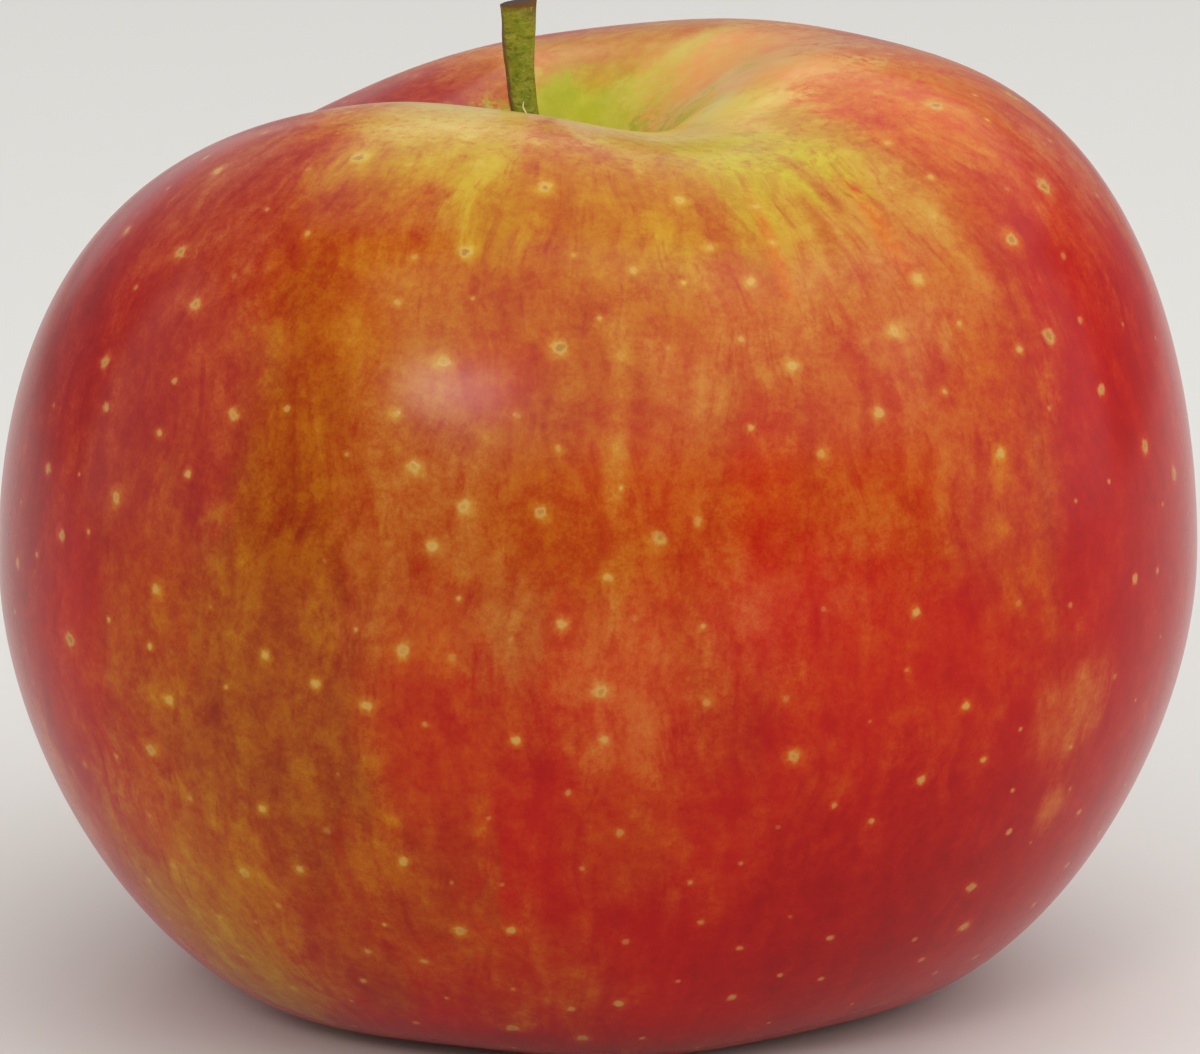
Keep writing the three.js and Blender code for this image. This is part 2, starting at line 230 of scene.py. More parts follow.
# Skin
skin = {
    "tones": {      # sRGB, bare of gloss
        "crimson": "981008",
        # deep red that also carries painted shade on the lower front
        "cherryAndShade": "9e0400",
        "bloodRed": "a90600",
        "scarlet": "b40600",
        "vermilion": "b32200",
        "redOrange": "b63212",
        "sunset": "b3460c",
        "flame": "ba4e18",
        "brick": "b03c00",
        "rust": "a84a04",
        "umber": "a03212",
        "maroon": "9c2004",
        "olive": "984500",
        "ember": "a44200",
        "amber": "ae6800",
        "ochre": "ae5e0c",
        "salmon": "ab5a1c",
        "tan": "b06c04",
        "copper": "b86822",
        "paleCopper": "b87a2a",
        "orange": "be6006",
        "gold": "b27e04",
        "yellow": "b6921a",
        "yellowGreen": "b09a0a",
        "straw": "c0a03c",
        "cream": "c5ab5e",
        "fawn": "be9856",
        "peach": "d0904a",
        "apricot": "d2964c",
        "butter": "c0a242",
        "honey": "cbb04f",
        "tangerine": "c4620c",
        # red skin lightened by a painted reflection of the pale room at the edges
        "coralAndReflection": "b44e2e",
        # skin tone lightened by a painted reflection of the pale room at the edge
        "roseBrownAndReflection": "a84e38",
        "acid": "b6a20a",
        "bronze": "b27206",
        "lime": "a8a41a",
        "leaf": "98a012",
        "moss": "74801c",
        "leafShade": "8f9420",
        "russet": "6e5022",
    },
    "byHeight": [       # distance along the skin from the eye, tone
        (2, "russet"), (6, "moss"), (12, "leafShade"), (16, "gold"), (21, "orange"), (27, "scarlet"),
        (45, "bloodRed"), (80, "bloodRed"), (95, "brick"), (103, "orange"), (109, "peach"),
        (114, "straw"), (118, "leaf"), (129, "moss"),
    ],
    # azimuth, distance along the skin from the eye, half width in degrees, half length, tone, strength
    "dabs": [
        (20, 62, 20, 44, "crimson", 0.7),       # the far side
        (95, 70, 24, 40, "bloodRed", 0.8),
        (56, 86, 13, 12, "sunset", 0.8),
        (70, 68, 8, 13, "flame", 0.6),
        (60, 46, 12, 11, "vermilion", 0.8),
        (47, 62, 4, 12, "copper", 0.5),
        (77, 92, 8, 7, "copper", 0.7),
        (118, 88, 16, 9, "rust", 0.9),
        (128, 67, 8, 12, "ember", 0.8),
        (112, 50, 7, 13, "vermilion", 0.7),
        (136, 41, 12, 9, "amber", 0.7),
        (96, 37, 14, 7, "brick", 0.7),
        (20, 50, 8, 13, "vermilion", 0.6),
        (4, 84, 5, 10, "brick", 0.7),
        (165, 66, 24, 42, "crimson", 0.9),
        (151, 88, 7, 9, "orange", 0.6),
        (173, 52, 5, 14, "brick", 0.7),
        (184, 38, 10, 8, "amber", 0.6),
        (30, 110, 22, 7, "peach", 1.0),         # round the cavity
        (50, 112, 8, 6, "butter", 0.9),
        (82, 110, 26, 5, "paleCopper", 1.0),
        (122, 112, 10, 6, "rust", 0.9),
        (150, 96, 14, 10, "scarlet", 0.8),
        (142, 108, 17, 10, "maroon", 1.0),
        (62, 118, 24, 3.5, "honey", 0.5),
        (96, 117, 26, 4, "lime", 1.0),
        (77, 114, 14, 2.5, "bronze", 0.6),
        (60, 109, 9, 4, "copper", 0.7),
        (86, 107, 13, 2.5, "copper", 0.7),
        (26, 116, 22, 5, "apricot", 0.8),
        (266, 82, 56, 26, "rust", 1.0),         # orange brown over the whole face
        (202, 78, 13, 30, "crimson", 1.0),      # left shoulder and cheek
        (223, 91, 12, 8, "umber", 1.0),
        (220, 78, 8, 9, "maroon", 0.9),
        (231, 75, 7, 8, "maroon", 0.5),
        (239, 62, 12, 26, "olive", 1.0),
        (229, 60, 7, 14, "olive", 0.7),
        (217, 55, 5, 7, "maroon", 0.7),
        (222, 41, 15, 13, "amber", 1.0),
        (219, 49, 5, 5, "sunset", 0.6),
        (223, 64, 7, 10, "ember", 0.8),
        (215, 58, 5, 9, "vermilion", 0.6),
        (224, 34, 11, 6, "amber", 1.0),
        # painted reflection: pale coral on the lower-left edge, the red skin with the room's reflection
        # painted in
        (204, 48, 5, 7, "coralAndReflection", 0.9),
        (230, 76, 4, 7, "maroon", 0.7),
        # painted reflection: pale rose brown on the upper-left edge, the skin with the room's reflection
        # painted in
        (214, 97, 9, 5, "roseBrownAndReflection", 0.7),
        (238, 97, 10, 5, "gold", 0.8),
        (236, 92, 8, 3, "ember", 0.7),
        (249, 87, 9, 8, "ochre", 0.9),
        (241, 102.5, 20, 4, "butter", 1.0),     # pale below the rim
        (240, 108, 24, 4, "cream", 1.0),
        (246, 98.5, 12, 3, "yellow", 0.8),
        (253, 98, 5, 7, "yellow", 1.0),
        (258, 93, 5, 5, "gold", 0.9),
        (252, 71, 9, 11, "salmon", 0.9),
        (263, 86, 6, 5, "rust", 0.9),
        (259, 82, 5, 3, "brick", 0.6),
        (273, 96, 13, 9, "tan", 1.0),
        (281, 108, 22, 4, "cream", 0.9),
        (271, 105, 7, 3, "fawn", 0.9),
        (279, 103, 8, 4, "yellow", 0.7),
        (261, 103, 2.2, 7, "tan", 0.8),         # a sharp edged strip up to the rim
        (272, 86, 2.0, 7, "copper", 0.3),
        (281, 90, 5, 4, "gold", 0.6),
        (300, 101, 17, 11, "yellowGreen", 1.0),
        (312, 97, 8, 7, "yellow", 0.7),
        (296, 109, 12, 3, "straw", 0.7),
        (317, 105, 6, 7, "gold", 0.8),
        (306, 92, 12, 5, "paleCopper", 0.9),
        (290, 86, 14, 6, "copper", 0.9),
        (316, 95, 7, 6, "paleCopper", 0.7),
        (310, 86, 11, 6, "copper", 0.9),
        (295, 101, 8, 7, "acid", 0.8),          # rays of the yellow fan
        (290, 96, 4, 5, "yellow", 0.7),
        (297, 94, 3, 6, "yellow", 0.6),
        (310, 100, 4.5, 6, "acid", 0.8),
        (304.5, 97, 1.4, 6, "ochre", 0.6),
        (287, 94, 1.6, 6, "ochre", 0.8),
        (293.5, 91, 1.1, 5, "tangerine", 0.6),
        (301, 92, 1.3, 5, "ember", 0.6),
        (309, 92, 1.6, 5, "tangerine", 0.6),
        (280, 82.5, 5, 4, "copper", 0.9),
        (290, 108.5, 30, 3, "cream", 0.6),
        (337, 103, 14, 8, "orange", 1.0),
        (327, 97, 5, 5, "sunset", 0.8),
        (337, 100, 13, 5, "tangerine", 0.9),
        (322, 111, 14, 4, "honey", 1.0),
        (346, 109, 14, 4.5, "apricot", 1.0),
        (356, 112, 14, 4, "apricot", 0.8),
        (0, 101, 16, 6, "tangerine", 0.7),
        (337, 89, 8, 7, "redOrange", 0.8),
        # painted reflection: pale coral on the right edge, the red skin with the room's reflection painted
        # in
        (347, 90, 9, 8, "coralAndReflection", 1.0),
        (302, 77, 18, 7, "sunset", 0.9),
        (276, 75, 9, 6, "sunset", 0.8),
        (287, 75, 4, 5, "vermilion", 0.6),
        (315, 73, 7, 12, "brick", 0.9),
        (328, 76, 5.5, 14, "bloodRed", 1.0),
        (344, 72, 7, 16, "bloodRed", 0.9),
        (290, 67, 12, 6, "redOrange", 1.0),
        (302, 59, 15, 9, "vermilion", 1.0),
        (273, 60, 7, 8, "flame", 0.9),
        (261, 65, 5, 6, "salmon", 0.8),
        (254, 56, 7, 11, "brick", 0.6),
        (273, 50, 9, 6, "brick", 0.8),
        (290, 49, 12, 7, "vermilion", 0.9),
        (250, 46, 10, 8, "ember", 0.9),
        (262, 47, 2.5, 9, "vermilion", 0.7),
        (241, 38, 9, 6, "ember", 0.8),
        (262, 37, 13, 8, "brick", 0.8),
        # painted shade: deeper red over the lower front, where the underside is in shade
        (305, 41, 24, 12, "cherryAndShade", 1.0),
        (336, 50, 10, 12, "bloodRed", 0.8),
        # painted shade: a wide band of deeper red along the bottom, darker towards the bottom
        (272, 28, 50, 4, "cherryAndShade", 0.8),
        (321.5, 56.5, 5, 5, "flame", 0.9),
        (318, 72, 0.9, 9, "maroon", 0.7),
        (323, 49, 2.6, 2.2, "flame", 1.0),      # oval scuff
    ],
    "dabEdge": 1.35,                # where a dab ends, in half widths
    "evenWidth": 0.6,               # streaks narrow only where the fruit is slimmer than this share
    "raggedScale": (5.0, 12.0),     # of the dabs' edges, across and along the growth
    "raggedReach": (4.0, 7.0),      # degrees, millimetres
    "raggedDetail": (0.5, 2.7),     # strength and scale of a finer one laid over it
    "coats": {"coat0": 0, "coat1": 500},        # how far along its ragged pattern each one starts
    "bareGround": "c4b45c",         # skin with no pigment in it
    "bend": 6.0,                    # how far the streaks wander
    "bendNoise": {"Scale": 1 / 9.0, "Detail": 1.0},
    "mottle": {"Scale": 1 / 3.0, "Detail": 4.8, "Roughness": 0.9},
    "greenEnds": (9.0, 112.0),      # no red strokes before the first or beyond the second
    "greenFade": 10.0,
    "grain": {      # size across and along the growth, octaves, strength of each against the last
        "stipple": (0.9, 3.0, 2.5, 0.65),
        "streaks": (1.6, 5.5, 1.5, 0.6),
        "bands": (2.4, 17.0, 1.0, 0.5),
        "strokes": (1.1, 7.5, 2.0, 0.6),
    },
    "pigmentSpread": {"mottle": 1.75, "streaks": 0.7, "bands": 0.7},
    "marks": {      # where the grain starts to show, where it is full, strength
        "stipple": (0.42, 0.58, 1.0),
        "strokes": (0.55, 0.65, 0.5),
        "freckles": (0.47, 0.7, 0.45),
    },
    "markRed": "f0ac80",            # multiplies the skin where strokes and freckles are
    "finish": {"Roughness": 0.21, "IOR": 1.3},
    "mottleBump": {"Strength": 0.25, "Distance": 0.05 * mm},
    "poreBump": {"Strength": 0.5, "Distance": 0.05 * mm},
    "spotColour": "c6a459",
    "spotHeart": "94601a",
    "spotRings": [(2.9, 0.5, 0.5), (1.25, 0.4, 0.57), (0.62, 0.2, 0.7)],    # ends, full, strength
    "spotRagged": 1.4,
    "spotNoise": {"Scale": 2.2, "Detail": 2.0},
    "heartRadii": (0.32, 0.52),     # lenticels below the first have no heart
    "spotRoom": (1.8, 2.3),         # they end where the next one is about this much farther off
    "spots": [      # azimuth, distance along, size of the large lenticels
        (213.8, 79.6, 1.0), (216.1, 76.9, 0.8), (224, 84.5, 1.0), (218, 87.8, 1.0), (208, 71.7, 0.9),
        (212.3, 67.8, 0.9), (220, 71.3, 0.9), (214, 61, 1.1), (232.5, 77.8, 0.9), (228.5, 73.7, 0.6),
        (226, 66, 0.8), (202.5, 64.3, 0.8), (204, 88.5, 0.8), (212, 94.5, 0.8), (233.5, 97.5, 1.5),
        (254, 90, 1.1), (262.5, 96.2, 1.1), (282.3, 96, 0.8), (266, 83.8, 1.2), (289, 89, 0.7),
        (291.8, 82.7, 0.8), (304.6, 84.5, 0.9), (310, 87.8, 0.8), (300.5, 79, 0.8), (313.3, 75, 0.8),
        (319, 81.3, 0.7), (323.5, 81.5, 1.4), (325, 88.3, 1.1), (336.5, 90.3, 1.4), (336.7, 99.2, 1.3),
        (329, 77, 0.9), (334.8, 72.4, 1.0), (341, 69.6, 1.2), (276.4, 71.4, 1.2), (280.1, 72.4, 0.7),
        (264.5, 73, 1.0), (257, 73.2, 0.9), (251.5, 63.8, 0.9), (238, 62.8, 0.7), (243, 61.2, 0.7),
        (248, 60, 0.8), (227.3, 58.7, 0.8), (224, 54.7, 0.9), (270.4, 61.3, 1.0), (262.2, 58, 0.7),
        (290, 56.3, 1.0), (250, 48.6, 0.8), (236, 51.7, 0.6), (231.6, 46, 0.9), (304, 53.5, 0.7),
        (302.3, 65.3, 0.6), (330.5, 64.3, 0.8), (308, 58.5, 0.6), (317.2, 47.9, 0.6), (315, 43.5, 0.9),
        (317.5, 39.4, 0.9), (254.8, 42.8, 0.9), (260.4, 43, 0.7), (258, 31.5, 1.0), (268, 30.3, 0.9),
        (273, 35.3, 0.8), (288, 35.3, 0.8), (251.8, 75.6, 0.9), (254, 70.6, 0.8), (253.7, 82.4, 0.9),
        (266.6, 65.8, 0.8),
    ],
    "spotRadius": 0.46,
    "spotGap": 3.1,             # between lenticels, at the least
    "smallSpots": 1100,         # tries at placing one
    "smallSpotReach": (22, 104),
    "smallSpotLean": 1.4,       # above one, more of them near the eye
    "smallSpotRadius": (0.14, 0.3),
    "smallSpotStrength": (0.3, 1.0),
    "front": (190, 355),        # azimuths
    "farLargeSpots": 0.12,      # share of large ones away from the front
    "farSpotSizes": (0.7, 1.3),
    "spotSeed": 5,
}


def linearColour(hexCode):      # sRGB to linear
    parts = [int(hexCode[i:i + 2], 16) / 255 for i in (0, 2, 4)]
    return tuple(p / 12.92 if p < 0.04045 else ((p + 0.055) / 1.055) ** 2.4 for p in parts) + (1.0,)


def paintDabs(azimuth, along, ragged):      # each dab pulls the skin towards its tone
    tones = {name: np.sqrt(linearColour(code)) for name, code in skin["tones"].items()}
    heights = [height for height, tone in skin["byHeight"]]
    bands = np.array([tones[tone] for height, tone in skin["byHeight"]])
    aroundReach, alongReach = skin["raggedReach"]
    bandPlace = along + alongReach * ragged[:, 1]
    painted = np.stack([np.interp(bandPlace, heights, band) for band in bands.T], axis=1)
    for dabAzimuth, dabAlong, halfWidth, halfLength, tone, strength in skin["dabs"]:
        across = (azimuth - dabAzimuth + 180) % 360 - 180
        across += min(aroundReach, halfWidth / 2) * ragged[:, 0]
        lengthwise = along - dabAlong + min(alongReach, halfLength / 2) * ragged[:, 1]
        away = np.hypot(across / halfWidth, lengthwise / halfLength)
        painted += (tones[tone] - painted) * (strength * fade(skin["dabEdge"] - away))[:, None]
    return painted ** 2


def skinPlace(azimuth, along):      # a point of the grown skin
    radius = np.interp(along, profileAlong, profilePlaces[:, 0])
    height = np.interp(along, profileAlong, profilePlaces[:, 2])
    turn = math.radians(azimuth)
    place = growFruit(np.array([[radius * math.cos(turn), radius * math.sin(turn), height]]))[0]
    return Vector(place) + Vector((*boxShift, 0))


def scatterSpots():     # the large lenticels of the front, then small ones wherever there is room
    chance = random.Random(skin["spotSeed"])
    spots = []
    for azimuth, along, size in skin["spots"]:
        spots.append((skinPlace(azimuth, along), size * skin["spotRadius"], 1.0))
    lowest, highest = skin["smallSpotReach"]
    frontStart, frontEnd = skin["front"]
    for i in range(skin["smallSpots"]):
        azimuth = chance.uniform(0, 360)
        along = lowest + (highest - lowest) * chance.random() ** skin["smallSpotLean"]
        radius = chance.uniform(*skin["smallSpotRadius"])
        if not frontStart < azimuth < frontEnd and chance.random() < skin["farLargeSpots"]:
            radius = skin["spotRadius"] * chance.uniform(*skin["farSpotSizes"])
        place = skinPlace(azimuth, along)
        if all((place - spot[0]).length > skin["spotGap"] for spot in spots):
            spots.append((place, radius, chance.uniform(*skin["smallSpotStrength"])))
    return spots


def paintFruit(piece, turn):
    along = np.empty(len(turn))
    piece.data.attributes["along"].data.foreach_get("value", along)
    radius = np.interp(along, profileAlong, profilePlaces[:, 0])
    reach = np.minimum(fruit["widestRadius"], radius / skin["evenWidth"])
    growth = np.stack([reach * np.cos(turn), reach * np.sin(turn), along], axis=1)
    storeOnPoints(piece, "growth", "FLOAT_VECTOR", growth)
    eyeEnd, cavityEnd = skin["greenEnds"]
    sunlit = fade((along - eyeEnd) / skin["greenFade"]) * fade((cavityEnd - along) / skin["greenFade"])
    storeOnPoints(piece, "sunlit", "FLOAT", sunlit)
    around, lengthwise = skin["raggedScale"]
    detail, scale = skin["raggedDetail"]
    for coat, start in skin["coats"].items():       # one painting twice, each with its own ragged edges
        ragged = []
        for x, y, z in growth:
            point = Vector((x / around, y / around, z / lengthwise + start))
            ragged.append(noise.noise_vector(point) + detail * noise.noise_vector(point * scale))
        painted = paintDabs(np.degrees(turn), along, np.array(ragged))
        storeOnPoints(piece, coat, "FLOAT_COLOR", painted)

    spots = scatterSpots()
    tree = KDTree(len(spots))
    for i, spot in enumerate(spots):
        tree.insert(spot[0], i)
    tree.balance()
    centres, shapes = [], []
    roomLow, roomHigh = skin["spotRoom"]
    smallHeart, largeHeart = skin["heartRadii"]
    for place in meshPoints(piece):     # each point knows the lenticel nearest to it
        (centre, i, near), second = tree.find_n(place, 2)
        radius, strength = spots[i][1:]
        room = strength * fade((second[2] - near - roomLow) / (roomHigh - roomLow))
        centres.append(centre)
        shapes.append((1 / radius, room, fade((radius - smallHeart) / (largeHeart - smallHeart))))
    storeOnPoints(piece, "spotCentre", "FLOAT_VECTOR", centres)
    storeOnPoints(piece, "spotShape", "FLOAT_VECTOR", shapes)
    print("apple:", len(spots), "lenticels")


paintFruit(apple, turn)


def socketNamed(sockets, name):     # a Mix node has several of each name, and only one is switched on
    inUse = [socket for socket in sockets if socket.enabled]
    return inUse[name] if isinstance(name, int) else next(s for s in inUse if s.name == name)


def addNode(tree, kind, settings, links, output=0):
    node = tree.nodes.new("ShaderNode" + kind)
    for name, value in settings.items():
        if isinstance(name, str) and hasattr(node, name):
            setattr(node, name, value)
        else:
            socketNamed(node.inputs, name).default_value = value
    for name, source in links.items():
        tree.links.new(source, socketNamed(node.inputs, name))
    return socketNamed(node.outputs, output) if node.outputs else node


def newMaterial(name):
    material = bpy.data.materials.new(name)
    material.use_nodes = True
    material.node_tree.nodes.clear()
    return material


def fillRamp(socket, stops):
    ramp = socket.node.color_ramp
    while len(ramp.elements) < len(stops):
        ramp.elements.new(0.5)
    for element, (position, colour) in zip(ramp.elements, stops):
        element.position = position
        element.color = linearColour(colour)
    return socket


# living apple skin: a thin wax film over pale flesh, with red pigment in patches and streaks
def makeSkinMaterial():
    material = newMaterial("appleSkinGrownWax")
    tree = material.node_tree
    growth = addNode(tree, "Attribute", {"attribute_name": "growth"}, {}, "Vector")
    sunlit = addNode(tree, "Attribute", {"attribute_name": "sunlit"}, {}, "Fac")
    coats = [addNode(tree, "Attribute", {"attribute_name": coat}, {}, "Color") for coat in skin["coats"]]
    place = addNode(tree, "TexCoord", {}, {}, "Object")
    placeMm = addNode(tree, "VectorMath", {"operation": "SCALE", "Scale": 1 / mm}, {"Vector": place})

    # lenticels: pale corky pores in a ring of paler skin, the large ones with a darker heart
    spotCentre = addNode(tree, "Attribute", {"attribute_name": "spotCentre"}, {}, "Vector")
    spotShape = addNode(tree, "Attribute", {"attribute_name": "spotShape"}, {}, "Vector")
    sharpness, room, heartSize = addNode(tree, "SeparateXYZ", {}, {"Vector": spotShape}).node.outputs
    away = addNode(tree, "VectorMath", {"operation": "DISTANCE"}, {0: placeMm, 1: spotCentre}, "Value")
    ragged = addNode(tree, "TexNoise", skin["spotNoise"], {"Vector": placeMm})
    reach = {1: skin["spotRagged"], 2: -skin["spotRagged"] / 2}
    ragged = addNode(tree, "Math", {"operation": "MULTIPLY_ADD", **reach}, {0: ragged})
    away = addNode(tree, "Math", {"operation": "MULTIPLY_ADD"}, {0: away, 1: sharpness, 2: ragged})
    rings = []
    for outer, inner, strength in skin["spotRings"]:
        reach = {"From Min": outer, "From Max": inner, "To Max": strength}
        ring = addNode(tree, "MapRange", {"interpolation_type": "SMOOTHSTEP", **reach}, {"Value": away})
        rings.append(addNode(tree, "Math", {"operation": "MULTIPLY"}, {0: ring, 1: room}))
    halo, pore, heart = rings
    heart = addNode(tree, "Math", {"operation": "MULTIPLY"}, {0: heart, 1: heartSize})
    bleach = addNode(tree, "Math", {"operation": "SUBTRACT", 0: 1.0}, {1: halo})

    # patterns that run from the eye to the cavity, and one that has no direction
    bend = addNode(tree, "TexNoise", skin["bendNoise"], {"Vector": placeMm}, "Color")
    reach = (skin["bend"],) * 3
    growth = addNode(tree, "VectorMath", {"operation": "MULTIPLY_ADD", 1: reach}, {0: bend, 2: growth})
    grain = {}
    for name, (across, lengthwise, detail, roughness) in skin["grain"].items():
        scale = (1 / across, 1 / across, 1 / lengthwise)
        drawnOut = addNode(tree, "VectorMath", {"operation": "MULTIPLY", 1: scale}, {0: growth})
        settings = {"Scale": 1.0, "Detail": detail, "Roughness": roughness}
        grain[name] = addNode(tree, "TexNoise", settings, {"Vector": drawnOut})
    grain["mottle"] = addNode(tree, "TexNoise", skin["mottle"], {"Vector": placeMm})

    sources = {"stipple": grain["stipple"], "strokes": grain["strokes"], "freckles": grain["mottle"]}
    marks = {}
    for name, source in sources.items():
        low, high, strength = skin["marks"][name]
        reach = {"From Min": low, "From Max": high, "To Max": strength}
        marks[name] = addNode(tree, "MapRange", reach, {"Value": source})

    # one coat shows through the other in short strokes where their edges differ
    layers = {"Factor": marks["stipple"], "A": coats[0], "B": coats[1]}
    painted = addNode(tree, "Mix", {"data_type": "RGBA"}, layers)

    # more or less pigment from place to place, and little round a lenticel
    spread = skin["pigmentSpread"]
    start = {1: spread["mottle"], 2: 1 - sum(spread.values()) / 2}
    pigment = addNode(tree, "Math", {"operation": "MULTIPLY_ADD", **start}, {0: grain["mottle"]})
    for name in ("streaks", "bands"):
        more = {"operation": "MULTIPLY_ADD", 1: spread[name]}
        pigment = addNode(tree, "Math", more, {0: grain[name], 2: pigment})
    pigment = addNode(tree, "Math", {"operation": "MULTIPLY"}, {0: pigment, 1: bleach})
    ground = linearColour(skin["bareGround"])
    divide = {"data_type": "RGBA", "blend_type": "DIVIDE", "Factor": 1.0, "B": ground}
    multiply = {"data_type": "RGBA", "blend_type": "MULTIPLY", "Factor": 1.0, "B": ground}
    share = addNode(tree, "Mix", divide, {"A": painted})
    share = addNode(tree, "Gamma", {}, {"Color": share, "Gamma": pigment})
    colour = addNode(tree, "Mix", multiply, {"A": share})

    # strokes of deeper red, and freckles of it where the mottle is strong
    redness = addNode(tree, "Math", {"operation": "ADD"}, {0: marks["strokes"], 1: marks["freckles"]})
    for part in (bleach, sunlit):
        redness = addNode(tree, "Math", {"operation": "MULTIPLY"}, {0: redness, 1: part})
    multiply = {"data_type": "RGBA", "blend_type": "MULTIPLY", "B": linearColour(skin["markRed"])}
    colour = addNode(tree, "Mix", multiply, {"Factor": redness, "A": colour})
    for amount, tone in [(pore, skin["spotColour"]), (heart, skin["spotHeart"])]:
        tint = {"data_type": "RGBA", "B": linearColour(tone)}
        colour = addNode(tree, "Mix", tint, {"Factor": amount, "A": colour})

    bump = addNode(tree, "Bump", skin["mottleBump"], {"Height": grain["mottle"]})
    bump = addNode(tree, "Bump", skin["poreBump"], {"Height": pore, "Normal": bump})
    shader = addNode(tree, "BsdfPrincipled", skin["finish"], {"Base Color": colour, "Normal": bump})
    addNode(tree, "OutputMaterial", {}, {"Surface": shader})
    return material


apple.data.materials.append(makeSkinMaterial())
print("apple: skin painted")


# Stem
stem = {
    "route": [
        (-2.2, -1.4, 47.4), (-2.3, -1.4, 50.5), (-3.4, -1.35, 55.5), (-4.6, -1.25, 60.5),
        (-5.15, -1.1, 65.0), (-5.3, -0.9, 69.5),
    ],
    "radii": [1.15, 1.17, 1.0, 0.91, 0.98, 1.24],
    "sidesPerQuarter": 12,
    "stepsPerPoint": 24,
    "rimRound": 0.16,
    "pithRadius": 0.55,
    "pithDepth": 0.12,
    "mergeReach": 0.001,
    "endSlope": 0.12,           # the picked end slants up to the right
    "endReach": 4.5,
    "ridges": [(3, 0.05, 40), (5, 0.03, 10), (9, 0.012, 0)],        # count, height, crest
    "ridgeTwist": 6.0,          # degrees a millimetre
    "knobbliness": 0.07,
    "knobSize": 1.6,
    "shredRoute": [(-5.14, 62.85), (-5.2, 62.5), (-5.08, 62.2), (-4.86, 61.9)],     # across, height
    "shredRadii": [0.02, 0.06, 0.07, 0.04],
    "greens": [(0.35, "747c0c"), (0.65, "938e1a")],
    "darkGreen": "525806",
    "brown": "663a14",
    "fleck": "b0ac5c",
    "shred": "d8cc8c",
    "cutEnd": "33120e",
    "grain": {      # scale round and along, octaves, strength of each against the last, distortion
        "fibres": (3.5, 0.7, 5.0, 0.6, 0.0),
        "patches": (1.3, 1.1, 4.0, 0.65, 0.0),
        "flecks": (1.7, 3.4, 3.0, 0.7, 0.8),
    },
    "leftSide": (-0.72, -1.0),
    "marks": {      # where each starts, where it is full, strength
        "dark": (0.5, 0.34, 0.8),
        "pale": (0.57, 0.72, 0.75),
        "brownSide": (0.7, 1.3, 0.9),
        "brownTop": (68.6, 70.6, 0.85),
        "brownLip": (69.0, 69.35, 0.9),
        "facingUp": (0.6, 0.9, 1.0),
        "atTop": (69.0, 69.3, 1.0),
    },
    "sideReach": 1.2,
    "topSlope": 1.1,            # the brown of the end reaches down farther on the left
    "finish": {"Roughness": 0.6, "IOR": 1.4},
    "fibreBump": {"Strength": 0.6, "Distance": 0.12 * mm},
    "fleckBump": {"Strength": 0.4, "Distance": 0.1 * mm},
}


def stemCentre(height):
    route = np.array(stem["route"])
    across, inward = [np.interp(height, route[:, 2], route[:, axis]) for axis in (0, 1)]
    return np.stack([across, inward], axis=1)


def makeStem():
    bpy.ops.curve.primitive_bezier_curve_add(location=(0, 0, 0))
    curve = bpy.context.object
    spline = curve.data.splines[0]
    spline.bezier_points.add(len(stem["route"]) - 2)
    for point, place, radius in zip(spline.bezier_points, stem["route"], stem["radii"]):
        point.co = Vector(place) * mm
        point.radius = radius
        point.handle_left_type = point.handle_right_type = "AUTO"
    curve.data.resolution_u = stem["stepsPerPoint"]
    spline.resolution_u = stem["stepsPerPoint"]
    curve.data.bevel_depth = 1 * mm
    curve.data.bevel_resolution = stem["sidesPerQuarter"]
    curve.data.use_fill_caps = True
    bpy.ops.object.convert(target="MESH")
    piece = bpy.context.object
    piece.name = "appleStem"

    startEdit(piece)
    bpy.ops.mesh.remove_doubles(threshold=stem["mergeReach"] * mm)
    bpy.ops.mesh.normals_make_consistent(inside=False)
    endEdit()
    topHeight = stem["route"][-1][2]
    for polygon in piece.data.polygons:     # the cap becomes a round rim and a sunken pith
        polygon.select = polygon.normal.z > 0.9 and polygon.center.z > (topHeight - 1) * mm
    bpy.ops.object.mode_set(mode="EDIT")
    bpy.ops.mesh.inset(thickness=stem["rimRound"] * mm)
    bpy.ops.transform.translate(value=(0, 0, stem["rimRound"] * mm))
    bpy.ops.mesh.inset(thickness=(stem["radii"][-1] - stem["rimRound"] - stem["pithRadius"]) * mm)
    bpy.ops.mesh.inset(thickness=stem["pithDepth"] * mm)
    bpy.ops.transform.translate(value=(0, 0, -stem["pithDepth"] * mm))
    endEdit()

    places = meshPoints(piece)
    centre = stemCentre(places[:, 2])
    offset = places[:, :2] - centre
    turn = np.arctan2(offset[:, 1], offset[:, 0])
    twisted = turn - np.radians(stem["ridgeTwist"]) * places[:, 2]
    lumps = np.array([noise.noise(Vector(place) / stem["knobSize"]) for place in places])
    swell = sumOfWaves(stem["ridges"], twisted) + stem["knobbliness"] * lumps
    places[:, :2] += offset * swell[:, None]
    nearEnd = fade((places[:, 2] - topHeight + stem["endReach"]) / stem["endReach"])
    places[:, 2] += stem["endSlope"] * offset[:, 0] * nearEnd
    places[:, :2] += boxShift
    setMeshPoints(piece, places)
    bark = np.stack([np.cos(turn), np.sin(turn), places[:, 2]], axis=1)
    storeOnPoints(piece, "bark", "FLOAT_VECTOR", bark)
    shred = makeShred()
    selectOnly(piece)
    shred.select_set(True)
    bpy.ops.object.join()
    finishPiece(piece, "stem")
    return piece


